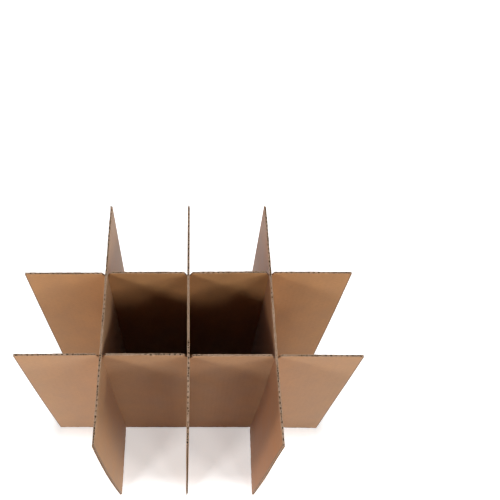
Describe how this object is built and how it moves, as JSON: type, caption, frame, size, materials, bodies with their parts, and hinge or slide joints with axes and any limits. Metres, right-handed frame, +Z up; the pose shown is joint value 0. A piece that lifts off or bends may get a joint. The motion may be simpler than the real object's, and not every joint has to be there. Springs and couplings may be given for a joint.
{
  "type": "cardboard cell divider insert",
  "caption": "Corrugated cardboard sheets interlocked by half-lap slots into an upright grid of open cells that keeps glasses apart inside a moving carton.",
  "frame": {"origin": "middle of the footprint, on the surface that the lower edges of all the sheets stand on", "axes": "+X along the long sheets to the right, +Y along the cross sheets to the back, +Z up"},
  "size_m": [0.414, 0.32, 0.318],
  "materials": {
    "kraft_board": "matte brown kraft liner over a fluted medium, with open flutes at the cut edges"
  },
  "bodies": {
    "root": {"long_divider_front": "kraft_board", "long_divider_back": "kraft_board", "cross_divider_left": "kraft_board", "cross_divider_middle": "kraft_board", "cross_divider_right": "kraft_board"}
  },
  "joints": []
}
